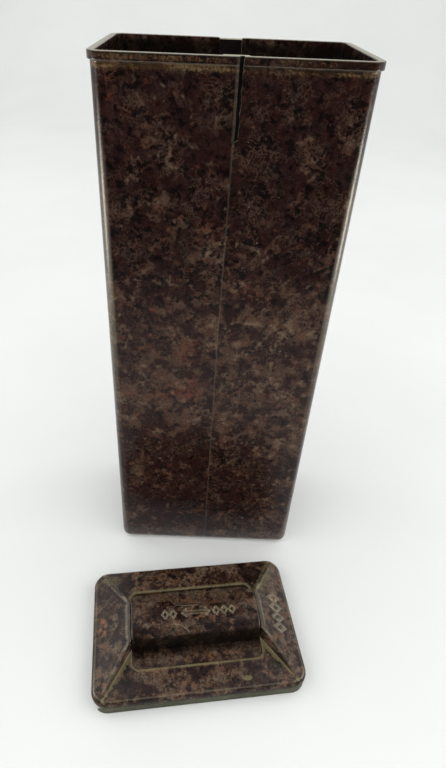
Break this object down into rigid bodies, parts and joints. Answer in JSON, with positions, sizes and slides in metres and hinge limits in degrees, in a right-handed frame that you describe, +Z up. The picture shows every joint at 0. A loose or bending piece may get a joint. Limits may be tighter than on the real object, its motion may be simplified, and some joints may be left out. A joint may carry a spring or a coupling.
{
  "type": "kitchen storage canister with a sliding lid",
  "caption": "Tall mottled phenolic kitchen canister, seamed in two halves, with a loose sliding lid that has a grip bar in a finger pocket.",
  "frame": {"origin": "centre of the canister's flat base, which is the surface it stands on", "axes": "+Z up the canister, +X along its long side to the right, +Y to the rear; the lid lies in front, towards -Y"},
  "size_m": [0.1143, 0.1679, 0.268],
  "materials": {
    "phenolic_body": "moulded, mottled brown, satin to gloss with worn edges",
    "phenolic_strap": "moulded, dark brown, satin",
    "phenolic_lid": "moulded, coarsely mottled brown, rust and black, satin with dusty grooves",
    "phenolic_frame": "plain greyed olive brown, dull"
  },
  "bodies": {
    "canister": {"body_left_half": "phenolic_body", "body_right_half": "phenolic_body", "front_joint_strap": "phenolic_strap", "rear_joint_strap": "phenolic_strap", "base_joint_strap": "phenolic_strap"},
    "lid": {"lid_plate": "phenolic_lid", "grip_bar": "phenolic_lid", "slide_frame": "phenolic_frame"}
  },
  "joints": [
    {"name": "lid_slide", "type": "slide", "parent": "canister", "child": "lid", "axis": [0.9906, 0.1366, 0], "range_m": [0, 0.107]}
  ]
}
